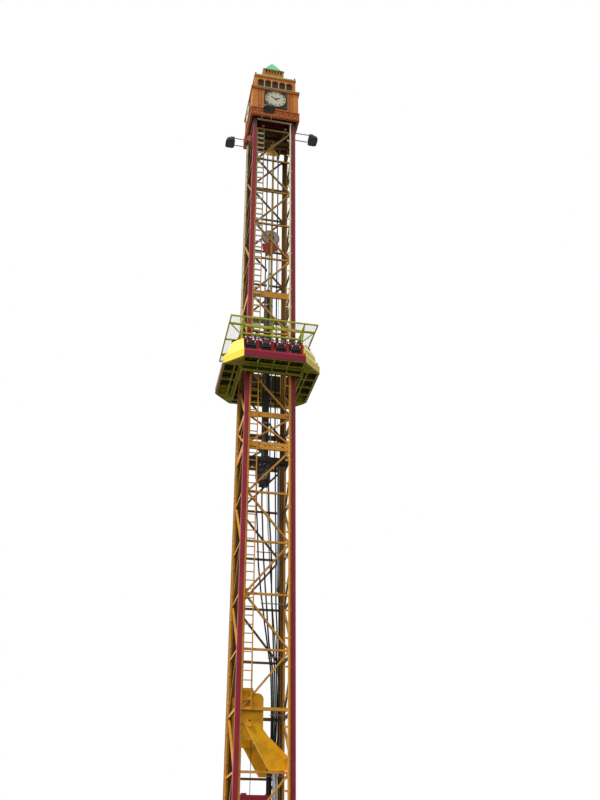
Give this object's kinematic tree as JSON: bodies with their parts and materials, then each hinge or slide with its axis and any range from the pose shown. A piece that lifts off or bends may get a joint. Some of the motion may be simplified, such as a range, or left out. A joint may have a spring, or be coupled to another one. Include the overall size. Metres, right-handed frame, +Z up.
{
  "type": "drop tower ride",
  "caption": "Drop tower ride with a square lattice mast, a clock-tower head and a gondola of outward-facing benches that slides on guide rails.",
  "frame": {"origin": "centre of the underside of the base frame, on the ground", "axes": "+Z up along the mast, -Y out of the front with the ladder, +X to the right seen from the front"},
  "size_m": [4.1, 3.7203, 36.76],
  "materials": {
    "crimson_paint": "faded gloss",
    "ochre_paint": "faded gloss",
    "cream_paint": "faded gloss",
    "lime_paint": "gloss",
    "dark_paint": "satin",
    "steel": "dull",
    "trim_paint": "matte",
    "wall_paint": "matte",
    "stone_paint": "matte",
    "mint_paint": "matte",
    "dial_face": "satin",
    "seat_shell": "gloss",
    "apron_shell": "gloss",
    "fairing_shell": "gloss",
    "pad_foam": "matte",
    "hose_rubber": "matte",
    "lamp_body": "matte"
  },
  "bodies": {
    "mast": {"base_frame": "dark_paint", "support_housing": "crimson_paint", "front_columns": "crimson_paint", "back_columns": "ochre_paint", "front_lattice": "ochre_paint", "left_lattice": "ochre_paint", "back_lattice": "ochre_paint", "right_lattice": "ochre_paint", "guide_rails": "cream_paint", "ladder": "ochre_paint", "hinge_plates": "ochre_paint", "lifting_arms": "ochre_paint", "raise_cylinder": "steel", "drive_cradle": "dark_paint", "drive_cylinder": "dark_paint", "drive_ram": "steel", "ram_sheave": "trim_paint", "rope_sheaves": "trim_paint", "crown_frame": "ochre_paint", "hoist_ropes": "steel", "hose_bundle": "hose_rubber", "clock_walls": "wall_paint", "lower_band": "trim_paint", "cornice": "trim_paint", "arcade": "wall_paint", "parapet": "stone_paint", "lantern": "wall_paint", "roof": "mint_paint", "dial_panels": "dark_paint", "clock_dials": "dial_face", "floodlight_arms": "steel", "floodlights": "lamp_body"},
    "gondola": {"carriage_frame": "lime_paint", "guide_rollers": "dark_paint", "canopy_ring": "lime_paint", "canopy_struts": "lime_paint", "canopy_mesh": "steel", "under_frames": "lime_paint", "bench_posts": "lime_paint", "front_bench": "seat_shell", "left_bench": "seat_shell", "back_bench": "seat_shell", "right_bench": "seat_shell", "aprons": "apron_shell", "corner_fairings": "fairing_shell"},
    "front_restraints": {"front_restraints": "pad_foam"},
    "left_restraints": {"left_restraints": "pad_foam"},
    "back_restraints": {"back_restraints": "pad_foam"},
    "right_restraints": {"right_restraints": "pad_foam"}
  },
  "joints": [
    {"name": "gondola_slide", "type": "slide", "parent": "mast", "child": "gondola", "axis": [0, 0, 1], "range_m": [-17.3, 9.5]},
    {"name": "front_restraint_hinge", "type": "hinge", "parent": "gondola", "child": "front_restraints", "pos_m": [0, -1.3003, 19.92], "axis": [-1, 0, 0], "range_deg": [0, 75]},
    {"name": "left_restraint_hinge", "type": "hinge", "parent": "gondola", "child": "left_restraints", "pos_m": [-1.3003, 0, 19.92], "axis": [0, 1, 0], "range_deg": [0, 75]},
    {"name": "back_restraint_hinge", "type": "hinge", "parent": "gondola", "child": "back_restraints", "pos_m": [0, 1.3003, 19.92], "axis": [1, 0, 0], "range_deg": [0, 75]},
    {"name": "right_restraint_hinge", "type": "hinge", "parent": "gondola", "child": "right_restraints", "pos_m": [1.3003, 0, 19.92], "axis": [0, -1, 0], "range_deg": [0, 75]}
  ]
}
